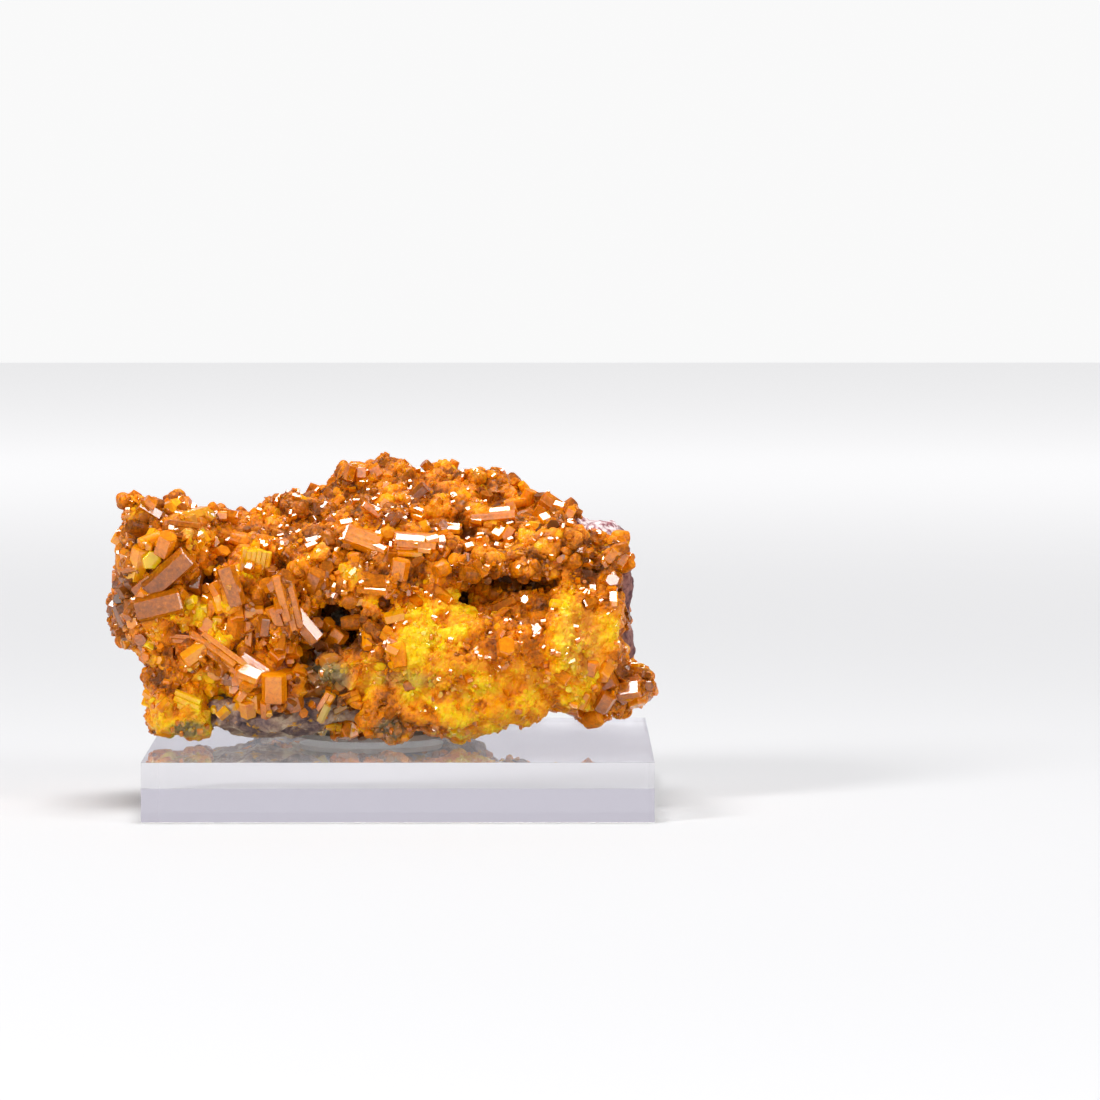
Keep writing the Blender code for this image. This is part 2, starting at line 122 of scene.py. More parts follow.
# Blades in the small cavity at the foot of the front, in the same terms
OLIVE_BLADES = [
    (-7.6, 8.1, 0.8, 1.8, 65, 10, 1, 0.95),
    (-5.8, 8.7, 0.7, 1.8, 30, 10, 1, 0.85),
    (-5.9, 7.8, 0.6, 1.3, 10, 20, 1, 0.80),
    (-5.8, 6.9, 1.2, 1.5, 80, 15, 1, 0.75),
    (-7.7, 6.7, 1.1, 1.2, 60, 20, 1, 1.00),
    (-8.6, 7.0, 0.9, 1.0, 20, 20, 1, 1.00),
    (-4.6, 8.2, 0.5, 1.2, 100, 10, 1, 0.80),
]

# Flat faces that catch the light: centre x and z where the line of sight crosses the
# plane y = 0, width, length, lean from +X in degrees, and how the face is tilted
UP = 49
FRONT = 4
BRIGHT_FACES = [
    (-2.8, 27.9, 0.35, 1.65, -32, UP),
    (-6.6, 27.0, 0.5, 1.0, 10, UP),
    (-5.4, 26.5, 0.5, 1.3, 15, UP),
    (-1.3, 27.1, 0.3, 0.8, 48, UP),
    (1.4, 27.8, 0.3, 1.4, -28, UP),
    (1.5, 27.2, 0.45, 1.2, -28, UP),
    (5.0, 29.1, 0.5, 0.6, 30, UP),
    (8.7, 27.5, 0.65, 3.6, 8, UP),
    (10.5, 28.2, 0.8, 1.0, 20, FRONT),
    (7.2, 26.8, 0.5, 1.2, -15, UP),
    (-2.2, 25.4, 0.3, 1.0, 45, UP),
    (-0.2, 25.7, 0.5, 0.9, 50, UP),
    (-3.2, 24.5, 0.4, 1.7, 12, UP),
    (-2.2, 24.1, 0.4, 1.5, -32, UP),
    (0.8, 24.9, 0.6, 2.9, -6, UP),
    (0.3, 24.3, 0.5, 1.6, -2, UP),
    (0.8, 23.7, 0.6, 2.4, -4, UP),
    (2.2, 24.0, 0.5, 1.3, -8, UP),
    (2.9, 24.9, 0.45, 1.3, 20, UP),
    (3.8, 24.8, 0.7, 0.9, 10, UP),
    (4.8, 26.0, 0.75, 1.7, -5, UP),
    (3.5, 25.8, 0.3, 0.7, 35, UP),
    (9.3, 25.6, 0.7, 1.4, 60, UP),
    (10.3, 25.6, 0.6, 1.4, 60, FRONT),
    (6.5, 24.2, 0.5, 0.9, 20, UP),
    (9.1, 24.3, 0.4, 0.5, 0, UP),
    (-0.9, 22.6, 0.3, 0.5, 0, UP),
    (8.3, 22.3, 0.4, 0.6, 60, UP),
    (-6.3, 23.8, 0.4, 0.6, 0, UP),
    (-3.9, 31.5, 0.8, 1.0, 0, FRONT),
    (-2.5, 31.6, 0.8, 1.1, 30, FRONT),
    (-1.1, 24.3, 0.2, 0.7, 90, UP),
    (-20.2, 28.0, 0.4, 0.8, 80, UP),
    (-22.3, 25.9, 0.5, 0.6, 0, UP),
    (-17.9, 24.1, 0.5, 0.6, 30, UP),
    (-18.3, 24.5, 0.4, 0.4, 0, UP),
    (-17.4, 23.4, 0.3, 0.4, 60, UP),
    (-20.9, 26.4, 0.3, 0.5, 50, UP),
    (-17.4, 27.3, 0.5, 1.0, 0, FRONT),
    (-12.0, 18.6, 0.4, 1.7, 100, UP),
    (17.7, 22.7, 0.8, 0.6, 80, UP),
    (21.2, 23.2, 1.0, 1.2, -30, FRONT),
    (21.0, 22.3, 0.35, 0.6, 0, UP),
    (19.6, 22.9, 0.35, 0.6, 70, UP),
    (20.5, 19.2, 1.1, 0.8, 0, UP),
    (13.8, 27.0, 0.7, 1.0, 30, UP),
    (15.2, 28.2, 0.5, 1.1, -20, UP),
    (16.2, 27.5, 0.7, 0.9, -30, FRONT),
    (22.2, 13.7, 1.0, 0.5, 0, FRONT),
    (17.0, 20.9, 0.3, 0.5, 0, UP),
    (13.9, 12.8, 0.4, 0.4, 0, UP),
    (15.1, 13.8, 0.3, 0.5, 0, UP),
    (-2.8, 20.3, 1.0, 3.0, -8, UP),
    (-14.6, 12.1, 1.3, 2.4, -28, UP),
    (-10.9, 13.3, 0.6, 0.8, 10, UP),
    (-9.8, 12.3, 0.9, 1.1, 70, UP),
    (1.4, 19.1, 0.8, 0.8, 50, UP),
    (4.1, 19.1, 0.5, 1.6, -30, UP),
    (-1.0, 15.0, 0.5, 1.0, -25, FRONT),
    (-1.0, 14.3, 0.5, 1.2, -25, FRONT),
    (6.4, 11.4, 0.5, 0.6, 30, UP),
    (-8.7, 24.8, 0.4, 1.3, 20, UP),
    (-8.8, 24.3, 0.4, 1.2, 30, UP),
    (-13.5, 24.5, 0.4, 0.5, 0, UP),
    (-14.7, 22.4, 0.5, 1.6, 70, UP),
    (-13.8, 22.4, 0.4, 1.4, 75, UP),
    (10.2, 14.3, 0.4, 0.8, 20, FRONT),
    (-13.2, 24.2, 0.3, 0.5, 30, UP),
    (-11.6, 24.4, 0.4, 0.4, 0, UP),
]

# Hollows that no crystal stands in front of, sunk into the skin and darkened further with painted shade: centre x
# and z, half sizes along x and z
HOLLOW_ZONES = [
    (-6.3, 17.4, 2.3, 1.7, 1.0),
    (-8.3, 14.9, 1.1, 1.7, 1.0),
    (-6.0, 9.3, 2.5, 1.1, 0.7),
    (10.8, 21.3, 4.4, 0.7, 0.6),
    (-21.2, 22.4, 0.9, 0.6, 1.0),
    (-18.6, 22.0, 0.8, 0.7, 1.0),
]

# Colour zones on the front: centre x and z, half sizes along x and z, and strength
YELLOW_ZONES = [
    (1.9, 15.0, 3.0, 5.4, 1.0),
    (5.2, 18.3, 2.6, 2.8, 0.9),
    (17.2, 15.9, 3.4, 6.0, 1.0),
    (9.0, 10.3, 7.0, 4.4, 0.75),
    (-4.4, 12.6, 3.0, 2.4, 0.8),
    (-20.3, 18.4, 1.7, 1.3, 0.9),
    (-17.1, 16.8, 1.7, 1.3, 0.9),
    (-24.3, 24.1, 1.0, 1.2, 0.9),
    (-20.5, 9.4, 3.8, 3.4, 0.9),
    (-18.5, 25.5, 3.0, 1.8, 0.5),
    (-13.8, 22.8, 1.8, 1.6, 0.6),
]
BROWN_ZONES = [
    (11.4, 18.8, 3.2, 2.6, 0.25),
    (-27.0, 19.0, 1.8, 6.0, 0.5),
    (-10.4, 21.4, 2.6, 1.6, 0.3),
    (19.0, 21.0, 3.0, 2.2, 0.4),
    (10.5, 21.6, 5.0, 0.9, 0.7),
    (-22.0, 12.0, 3.0, 1.4, 0.4),
    (-2.6, 17.8, 2.6, 1.7, 0.45),
]
GREY_ZONES = [
    (-6.9, 12.3, 2.1, 1.9, 0.9),
    (-1.0, 7.4, 1.4, 1.2, 0.9),
    (-20.3, 7.4, 1.7, 0.8, 0.9),
    (-26.8, 19.5, 1.8, 6.5, 0.12),
    (-19.8, 26.8, 2.2, 1.0, 0.3),
    (17.2, 16.2, 1.8, 3.5, 0.2),
    (0.5, 12.4, 3.2, 0.8, 0.4),
]
# Where the crystals are larger and stand apart, in the same terms
BLOCKY_ZONES = [
    (-21.5, 21.0, 7.5, 9.0, 1.0),
    (-13.0, 15.5, 6.5, 6.5, 1.0),
    (-5.0, 20.5, 5.0, 4.0, 0.6),
    (20.5, 10.5, 5.0, 3.0, 0.3),
    (16.0, 22.0, 5.5, 3.0, 0.4),
]
ZONE_DEPTH = 0.0
LEAST_TONE = 0.25
TONE_MIDDLE = 0.45
TONE_GRAIN = 2.6
TONE_SWING = 0.42

# Skins: how finely they are meshed, and the relief on them
CRUST_VOXEL = 0.26
CRUST_SMOOTHING = 3
ROCK_VOXEL = 0.36
ROCK_SMOOTHING = 2
COARSE_KNOBS = (750, 1.7, 1.0)
FINE_KNOBS = (5200, 0.62, 0.26)
CREVICE_GRAIN = 2.6
CREVICE_WIDTH = 0.09
CREVICE_DEPTH = 1.3
HOLLOW_DEPTH = 1.2
ROCK_ZONE_DEPTH = 12.0
PALE_ZONES = [(19.4, 26.9, 3.2, 1.7, 1.0)]
RED_WALL, RED_DEPTH = 20.6, 9.0

# The slab's eased edges, and a hair of air under it, so that its underside
# and the floor stay two surfaces
SLAB_EDGE = 0.02
FLOOR_GAP = 0.05
SPECIMEN_FLOOR = 5.75
ACRYLIC_DENSITY = 8.0

# Scattered crystals: typical width, its spread, length over width, how far they lean,
# how deep and how high they sit, the most that they stand out, and how much their tones differ
KNOBS = {
    "width": 1.15, "spread": 0.27, "slender": (0.9, 1.4), "swing": 0.5,
    "sink": (-0.95, -0.45), "most": 0.22, "tones": 0.06,
}
MEDIUM = {
    "width": 1.0, "spread": 0.38, "slender": (0.9, 2.0), "swing": 0.9,
    "sink": (-0.7, 0.0), "most": 0.65, "tones": 0.12,
}
RIM = {
    "width": 0.8, "spread": 0.3, "slender": (0.9, 1.6), "swing": 0.7,
    "sink": (-0.7, 0.0), "most": 0.5, "tones": 0.12,
}
FINE = {
    "width": 0.36, "spread": 0.35, "slender": (0.8, 1.6), "swing": 0.6,
    "sink": (-0.8, -0.1), "most": 0.3, "tones": 0.08,
}
RIM_SEED, RIM_COUNT = 23, 5000
RIM_LEVEL = 9.0
KNOB_SEED, KNOB_COUNT = 5, 2500
MEDIUM_SEED, MEDIUM_COUNT = 17, 3600
FINE_SEED, FINE_COUNT = 3, 26000
LARGE_SEED, LARGE_SINK = 8, 0.1
SKIN_BACK = 10.0
CAVITY_BACK = -6.5
BRIGHT_SEED, BRIGHT_RISE, BRIGHT_ROOT = 12, 0.42, 0.25
BRIGHT_WIDENING = 1.9
GLINT_SEED, GLINT_COUNT = 41, 320
GLINT_WIDTHS = (0.12, 0.25)
GLINT_LENGTHS = (0.25, 0.7)

# How far the crystals may pass the solids' box
BOX_MARGIN = 0.2


def link(name, mesh):
    thing = bpy.data.objects.new(name, mesh)
    bpy.context.scene.collection.objects.link(thing)
    return thing


def replace_mesh(thing):
    """Applies an object's modifiers."""
    graph = bpy.context.evaluated_depsgraph_get()
    graph.update()
    mesh = bpy.data.meshes.new_from_object(thing.evaluated_get(graph))
    thing.modifiers.clear()
    thing.data = mesh


def places_of(mesh):
    """Vertex places, in millimetres."""
    flat = np.empty(len(mesh.vertices) * 3)
    mesh.vertices.foreach_get("co", flat)
    return flat.reshape(-1, 3) / MM


def normals_of(mesh):
    flat = np.empty(len(mesh.vertices) * 3)
    mesh.vertices.foreach_get("normal", flat)
    return flat.reshape(-1, 3)


def set_places(mesh, places):
    mesh.vertices.foreach_set("co", (places * MM).ravel())
    mesh.update()


def set_values(mesh, name, values):
    """Keeps one number for each vertex, for the material to read."""
    layer = mesh.attributes.new(name, "FLOAT", "POINT")
    layer.data.foreach_set("value", values.astype(np.float32))


def smooth_step(values):
    values = np.clip(values, 0.0, 1.0)
    return values * values * (3.0 - 2.0 * values)


def noise_at(places, grain, offset):
    """Smooth noise from about -1 to 1 whose lumps are about one grain wide."""
    shift = Vector((offset, offset, offset))
    return np.array([noise.fractal(Vector(place) / grain + shift, 1.0, 2.0, 3) for place in places])


def zone_strength(places, zones):
    """How strongly each place lies in any of the zones of the front side."""
    strength = np.zeros(len(places))
    for x, z, half_x, half_z, most in zones:
        away = np.hypot((places[:, 0] - x) / half_x, (places[:, 2] - z) / half_z)
        strength = np.maximum(strength, most * smooth_step((1.35 - away) / 0.7))
    front = smooth_step((ZONE_DEPTH - places[:, 1]) / 4.0)
    return strength * front


def tone_at(places, grain=TONE_GRAIN, offset=5.0):
    """Tone at each place: 0 is dark brown, 1 is yellow."""
    wander = noise_at(places, grain, offset)
    tone = TONE_MIDDLE + TONE_SWING * wander
    yellow = zone_strength(places, YELLOW_ZONES)
    tone += (0.91 + 0.36 * wander - tone) * yellow
    brown = zone_strength(places, BROWN_ZONES)
    tone += (0.12 + 0.2 * wander - tone) * brown
    return np.clip(tone, LEAST_TONE, 1.0)


def refined_skin(node, name, voxel, smoothing):
    """A finer skin over a CAD node, with its sharp corners eased."""
    skin = link(name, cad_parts[node].data.copy())
    skin.data.materials.clear()
    remesh = skin.modifiers.new("refine", "REMESH")
    remesh.mode = "VOXEL"
    remesh.voxel_size = voxel * MM
    ease = skin.modifiers.new("ease", "SMOOTH")
    ease.factor = 0.5
    ease.iterations = smoothing
    replace_mesh(skin)
    return skin


def knob_rise(places, count, reach, seed):
    """How far round knobs, scattered over the skin, lift each place: 1 on a knob's top, 0 between knobs."""
    rng = np.random.default_rng(seed)
    tops = places[rng.choice(len(places), count, replace=False)]
    tree = kdtree.KDTree(count)
    for index, top in enumerate(tops):
        tree.insert(top, index)
    tree.balance()
    away = np.array([tree.find(place)[2] for place in places])
    return np.clip(1.0 - (away / reach) ** 2, 0.0, 1.0)


def make_crust_skin():
    skin = refined_skin("mimetite_crust", "crust_skin", CRUST_VOXEL, CRUST_SMOOTHING)
    mesh = skin.data
    places, outward = places_of(mesh), normals_of(mesh)
    yellow = zone_strength(places, YELLOW_ZONES)
    blocky = zone_strength(places, BLOCKY_ZONES)
    count, reach, height = COARSE_KNOBS
    coarse = (knob_rise(places, count, reach, 21) - 0.75) * height * (1.0 - 0.7 * yellow)
    count, reach, height = FINE_KNOBS
    fine = (knob_rise(places, count, reach, 22) - 0.6) * height * (1.0 - 0.4 * yellow)
    lumps = 0.7 * noise_at(places, 2.4, 3.0) + 0.35 * noise_at(places, 0.9, 9.0) + 0.15 * noise_at(places, 0.4, 6.0)
    valley = np.abs(noise_at(places, CREVICE_GRAIN, 14.0))
    crevice = smooth_step(1.0 - valley / CREVICE_WIDTH) * (0.25 + 0.75 * blocky) * (1.0 - 0.6 * yellow)
    cave = zone_strength(places, HOLLOW_ZONES)
    lift = coarse + fine + lumps * yellow - CREVICE_DEPTH * crevice - HOLLOW_DEPTH * cave
    lift = np.minimum(lift, 0.35)
    places = places + outward * lift[:, None]
    set_places(mesh, places)
    set_values(mesh, "tone", tone_at(places))
    set_values(mesh, "grey", zone_strength(places, GREY_ZONES))
    # Painted shade: places sunk deeper, and those inside the hollow zones, get a darker tone
    set_values(mesh, "painted_shade", np.clip(-lift / 0.6, 0.0, 1.0) * (1.0 + cave))
    return skin


def make_rock_skin():
    skin = refined_skin("matrix", "rock_skin", ROCK_VOXEL, ROCK_SMOOTHING)
    mesh = skin.data
    places, outward = places_of(mesh), normals_of(mesh)
    broad = noise_at(places * [1.0, 1.0, 2.2], 3.4, 2.0)
    lift = 0.6 * broad + 0.3 * noise_at(places, 1.1, 7.0) + 0.16 * noise_at(places, 0.45, 4.0)
    places = places + outward * np.minimum(lift, 0.3)[:, None]
    set_places(mesh, places)
    set_values(mesh, "pale", zone_strength(places - [0.0, ROCK_ZONE_DEPTH, 0.0], PALE_ZONES))
    wall = smooth_step((places[:, 0] - RED_WALL) / 0.8)
    set_values(mesh, "red", wall * smooth_step(1.1 - places[:, 1] / RED_DEPTH + broad))
    return skin


def make_acrylic_slab():
    """The slab, with the polished edges of its top barely eased."""
    slab = link("acrylic_slab", bpy.data.meshes.new("acrylic_slab"))
    low, high = (Vector(corner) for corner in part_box("display_slab"))
    work = bmesh.new()
    bmesh.ops.create_cube(work, size=1.0)
    for vertex in work.verts:
        share = vertex.co + Vector((0.5, 0.5, 0.5))
        vertex.co = [low[axis] + (high[axis] - low[axis]) * share[axis] for axis in range(3)]
    top_edges = [edge for edge in work.edges if all(vertex.co.z == high.z for vertex in edge.verts)]
    bmesh.ops.bevel(
        work, geom=top_edges, offset=SLAB_EDGE * MM, segments=2, profile=0.5, affect="EDGES",
    )
    work.to_mesh(slab.data)
    work.free()
    return slab


# Outlines of prisms, as corner angles, and profiles along them, as prisms_mesh describes
HEXAGON = [-30, 30, 90, 150, 210, 270]
TABULAR = [-40, 40, 90, 140, 220, 270]
ROUNDED = [-42, -14, 14, 42, 78, 102, 138, 166, 194, 222, 258, 282]
# The last number of each ring is painted shade, darkest at the root where a prism meets the skin
PLAIN_ENDS = [(-0.5, 0.0, 1.0, 0.5), (0.5, 0.0, 1.0, 0.0)]
BEVELLED_ENDS = [(-0.5, 0.0, 0.9, 0.4), (-0.5, 0.08, 1.0, 0.4), (0.5, -0.06, 1.0, 0.0), (0.5, 0.0, 0.88, 0.0)]
BARREL = [
    (-0.5, 0.0, 0.8, 0.6),
    (0.0, 0.0, 1.0, 0.4),
    (0.5, -0.3, 0.98, 0.1),
    (0.5, -0.1, 0.84, 0.0),
    (0.5, 0.0, 0.55, 0.0),
]
ROUNDED_EDGE = 34


def prism_faces(rings, ring):
    """Faces of a closed prism with this many rings of corners, as lists of corner numbers."""
    faces = [list(range(ring))[::-1]]
    for step in range(rings - 1):
        low, high = step * ring, (step + 1) * ring
        for corner in range(ring):
            after = (corner + 1) % ring
            faces.append([low + corner, low + after, high + after, high + corner])
    faces.append([(rings - 1) * ring + corner for corner in range(ring)])
    return faces


def unit_rows(rows):
    return rows / np.linalg.norm(rows, axis=1)[:, None]


def prisms_mesh(name, prisms, outline, profile):
    """One mesh of closed prisms. The outline is a list of corner angles round the axis, counted from the
    way the widest face looks. Each ring of the profile is a share of the length, a share of the width
    added to it, a share of the half width, and how much painted shade the prism has there."""
    axes = unit_rows(prisms["axis"])
    side = unit_rows(prisms["face"] - axes * (prisms["face"] * axes).sum(axis=1)[:, None])
    other = np.cross(axes, side)
    turns = np.radians(outline)
    widths, lengths, squash = prisms["width"], prisms["length"], prisms["squash"]
    count, rings, ring = len(axes), len(profile), len(outline)
    shares = np.array(profile)
    level = lengths[:, None] * shares[None, :, 0] + widths[:, None] * shares[None, :, 1]
    reach = widths[:, None] / 2 * shares[None, :, 2]
    along_side = np.cos(turns)[None, None, :] * (reach * squash[:, None])[:, :, None]
    along_other = np.sin(turns)[None, None, :] * reach[:, :, None]
    points = (
        prisms["centre"][:, None, None, :]
        + axes[:, None, None, :] * level[:, :, None, None]
        + side[:, None, None, :] * along_side[..., None]
        + other[:, None, None, :] * along_other[..., None]
    ).reshape(-1, 3)
    faces = prism_faces(rings, ring)
    sizes = np.array([len(face) for face in faces])
    corners = np.array([corner for face in faces for corner in face])
    loops = (corners[None, :] + (np.arange(count) * rings * ring)[:, None]).ravel()
    totals = np.tile(sizes, count)
    starts = np.concatenate([[0], np.cumsum(totals)[:-1]])
    mesh = bpy.data.meshes.new(name)
    mesh.vertices.add(len(points))
    mesh.vertices.foreach_set("co", (points * MM).ravel())
    mesh.loops.add(len(loops))
    mesh.loops.foreach_set("vertex_index", loops.astype(np.int32))
    mesh.polygons.add(len(totals))
    mesh.polygons.foreach_set("loop_start", starts.astype(np.int32))
    mesh.polygons.foreach_set("loop_total", totals.astype(np.int32))
    mesh.update(calc_edges=True)
    mesh.validate()
    set_values(mesh, "tone", np.repeat(prisms["tone"], rings * ring))
    set_values(mesh, "grey", np.repeat(prisms["grey"], rings * ring))
    # Painted shade: darkest at each prism's root, fading to none at its tip
    set_values(mesh, "painted_shade", np.tile(np.repeat(shares[:, 3], ring), count))
    set_values(mesh, "stripe", along_other.ravel() + np.repeat(prisms["tone"] * 50.0, rings * ring))
    return mesh


def add_prisms(name, prisms, outline, profile, rounded=False):
    """A piece made of the prisms that stay within the solids' box."""
    fits = inside_box(prisms["centre"], unit_rows(prisms["axis"]), prisms["width"], prisms["length"])
    prisms = {key: rows[fits] for key, rows in prisms.items()}
    mesh = prisms_mesh(name, prisms, outline, profile)
    if rounded:
        mesh.shade_smooth()
        mesh.set_sharp_from_angle(angle=math.radians(ROUNDED_EDGE))
    else:
        mesh.shade_flat()
    return link(name, mesh)


def columns(rows):
    """Lists of prisms, one dictionary each, as one dictionary of arrays."""
    return {key: np.array([row[key] for row in rows]) for key in rows[0]}


def sight_hit(tree, x, z, deepest_y):
    """Where the line of sight through a place in the plane y = 0 meets the skin, in millimetres,
    but no further back than the deepest y."""
    start = Vector(CAMERA_PLACE)
    way = (Vector((x, 0.0, z)) - start).normalized()
    hit = tree.ray_cast(start * MM, way)[0]
    deepest = start + way * (deepest_y - start.y) / way.y
    if hit is None or hit.y / MM > deepest_y:
        return np.array(deepest)
    return np.array(hit) / MM


def make_large_prisms(listed, skin_tree, grey, deepest_y):
    """The prisms that can be told apart on the front, each where a line of sight meets the skin."""
    rng = np.random.default_rng(LARGE_SEED)
    rows = []
    for x, z, width, length, lean, tip, beside, tone in listed:
        hit = sight_hit(skin_tree, x, z, deepest_y)
        lean, tip = math.radians(lean), math.radians(tip)
        axis = np.array(
            [math.cos(lean) * math.cos(tip), -math.sin(tip), math.sin(lean) * math.cos(tip)]
        )
        across = np.array([-math.sin(lean), 0.0, math.cos(lean)])
        face = np.array([rng.uniform(-0.3, 0.3), -1.0, rng.uniform(-0.1, 0.5)])
        reach = abs(axis[1]) * length / 2 + width / 2 * math.sqrt(1 - axis[1] ** 2)
        for share in range(beside):
            place = (share + 0.5) / beside - 0.5
            shift = across * place * width + axis * rng.uniform(-0.12, 0.12) * length * (beside > 1)
            inward = np.array([0.0, reach * LARGE_SINK + abs(place) * width * 0.3, 0.0])
            rows.append({
                "centre": hit + inward + shift,
                "axis": axis,
                "face": face,
                "width": width / beside * (1.25 if beside > 1 else 1.0),
                "length": length,
                "squash": 1.0,
                "tone": tone + rng.uniform(-0.06, 0.06),
                "grey": grey,
            })
    return columns(rows)


def random_glints(skin):
    """Small bright faces, listed as in BRIGHT_FACES, at random places in the camera's view of the skin."""
    rng = np.random.default_rng(GLINT_SEED)
    places, _ = spots_on(skin.data, GLINT_COUNT, rng)
    camera = np.array(CAMERA_PLACE)
    share = -camera[1] / (places[:, 1] - camera[1])
    crossings = camera + (places - camera) * share[:, None]
    return [
        (x, z, rng.uniform(*GLINT_WIDTHS), rng.uniform(*GLINT_LENGTHS), rng.uniform(-30, 90), UP)
        for x, _, z in crossings
    ]


def make_bright_faces(listed, skin_tree):
    """Prisms rooted in the skin whose broad face reflects the overhead light, or the light by the camera."""
    rng = np.random.default_rng(BRIGHT_SEED)
    thickness = BRIGHT_RISE + BRIGHT_ROOT
    flat_share = math.cos(math.radians(TABULAR[1]))
    rows = []
    for x, z, width, length, lean, tilt in listed:
        hit = sight_hit(skin_tree, x, z, SKIN_BACK)
        lean, tilt = math.radians(lean), math.radians(tilt + rng.uniform(-3, 3))
        face = np.array([rng.uniform(-0.04, 0.04), -math.cos(tilt), math.sin(tilt)])
        uphill = np.array([0.0, math.sin(tilt), math.cos(tilt)])
        axis = math.cos(lean) * np.array([1.0, 0.0, 0.0]) + math.sin(lean) * uphill
        rows.append({
            "centre": hit + face * (BRIGHT_RISE - BRIGHT_ROOT) / 2,
            "axis": axis,
            "face": face,
            "width": width * BRIGHT_WIDENING,
            "length": length,
            "squash": thickness / (flat_share * width * BRIGHT_WIDENING),
            "tone": 0.55 + rng.uniform(-0.1, 0.1),
            "grey": 0.0,
        })
    return columns(rows)


def spots_on(mesh, count, rng):
    """Random places on a mesh, spread evenly over its area, with the way out of the surface at each."""
    mesh.calc_loop_triangles()
    triangles = np.empty(len(mesh.loop_triangles) * 3, np.int32)
    mesh.loop_triangles.foreach_get("vertices", triangles)
    corners = places_of(mesh)[triangles.reshape(-1, 3)]
    crossed = np.cross(corners[:, 1] - corners[:, 0], corners[:, 2] - corners[:, 0])
    area = np.linalg.norm(crossed, axis=1)
    chosen = rng.choice(len(area), count, p=area / area.sum())
    first, second = rng.random(count), rng.random(count)
    over = first + second > 1
    first[over], second[over] = 1 - first[over], 1 - second[over]
    a, b, c = corners[chosen, 0], corners[chosen, 1], corners[chosen, 2]
    places = a + first[:, None] * (b - a) + second[:, None] * (c - a)
    return places, unit_rows(crossed[chosen])


def inside_box(centres, axes, widths, lengths):
    """Which prisms stay within the solids' box."""
    low, high = (np.array(corner) / MM for corner in cad_box)
    reach = np.abs(axes) * lengths[:, None] / 2 + widths[:, None] / 2 * np.sqrt(1 - axes ** 2)
    lowest, highest = centres - reach, centres + reach
    fits = (lowest > low - BOX_MARGIN) & (highest < high + BOX_MARGIN)
    return fits.all(axis=1) & (lowest[:, 2] > SPECIMEN_FLOOR)


def scattered_prisms(skin, count, rng, kind, thin_out):
    """Prisms scattered over the skin, in the sizes and leans of one kind."""
    places, outward = spots_on(skin.data, count, rng)
    keep = rng.random(count) > thin_out(places)
    keep &= zone_strength(places, HOLLOW_ZONES) < 0.5
    keep &= zone_strength(places - [0.0, ROCK_ZONE_DEPTH, 0.0], PALE_ZONES) < 0.5
    places, outward = places[keep], outward[keep]
    count = len(places)
    axes = unit_rows(outward + rng.normal(0, kind["swing"], (count, 3)))
    spread = kind["spread"]
    widths = kind["width"] * np.exp(np.clip(rng.normal(0, spread, count), -2 * spread, 2 * spread))
    lengths = widths * rng.uniform(*kind["slender"], count)
    facing = np.abs((axes * outward).sum(axis=1))
    reach = facing * lengths / 2 + widths / 2 * np.sqrt(1 - facing ** 2)
    rise = np.minimum(reach * rng.uniform(*kind["sink"], count), kind["most"] - reach)
    centres = places + outward * rise[:, None]
    return {
        "centre": centres,
        "axis": axes,
        "face": unit_rows(rng.normal(0, 1, (count, 3))),
        "width": widths,
        "length": lengths,
        "squash": rng.uniform(0.75, 1.0, count),
        "tone": np.clip(tone_at(centres) + rng.normal(0, kind["tones"], count), 0.0, 1.0),
        "grey": zone_strength(centres, GREY_ZONES) * 0.6,
    }


def rim_thin_out(places):
    """Crystals hang over the upper front edge of the rock's low ledge, and dot its back here and there."""
    over_ledge = (places[:, 1] < -4.0) & (places[:, 2] > RIM_LEVEL) & (places[:, 0] < -8.0)
    patches = noise_at(places, 4.0, 40.0) > 0.22
    return 1.0 - 0.9 * over_ledge - 0.8 * (patches & (places[:, 1] > 2.0))


def near_large(places, large):
    """Which places lie so close to a large prism that a crystal there would hide it."""
    hidden = np.zeros(len(places), bool)
    for centre, width, length in zip(large["centre"], large["width"], large["length"]):
        away = np.hypot(places[:, 0] - centre[0], places[:, 2] - centre[2])
        hidden |= (away < 0.3 * width + 0.25 * length) & (places[:, 1] < centre[1] + width)
    return hidden


def knob_thin_out(places):
    """The round knobs leave out the yellow mass and most of the blocky zones."""
    yellow = zone_strength(places, YELLOW_ZONES)
    blocky = zone_strength(places, BLOCKY_ZONES)
    return 0.75 * blocky + 0.9 * yellow


def medium_thin_out(places):
    """The medium prisms keep to the blocky zones, with a few everywhere else."""
    yellow = zone_strength(places, YELLOW_ZONES)
    blocky = zone_strength(places, BLOCKY_ZONES)
    return 0.86 - 0.86 * blocky + 0.14 * yellow


def fine_thin_out(places):
    """The fine prisms come in patches."""
    patches = noise_at(places, 2.2, 31.0)
    return np.clip(0.75 + 1.3 * patches, 0.1, 1.0)


def node_material(name):
    """A new material, its node tree and its Principled shader."""
    material = bpy.data.materials.new(name)
    material.use_nodes = True
    tree = material.node_tree
    return material, tree, tree.nodes["Principled BSDF"]


def add_node(tree, kind, **settings):
    node = tree.nodes.new(kind)
    for key, value in settings.items():
        setattr(node, key, value)
    return node


def ramp(tree, source, stops):
    """A colour ramp over a value, from (place, colour) pairs."""
    node = add_node(tree, "ShaderNodeValToRGB")
    points = node.color_ramp.elements
    while len(points) < len(stops):
        points.new(0.5)
    for point, (place, colour) in zip(points, stops):
        point.position = place
        point.color = (*colour, 1.0)
    tree.links.new(source, node.inputs["Fac"])
    return node.outputs["Color"]


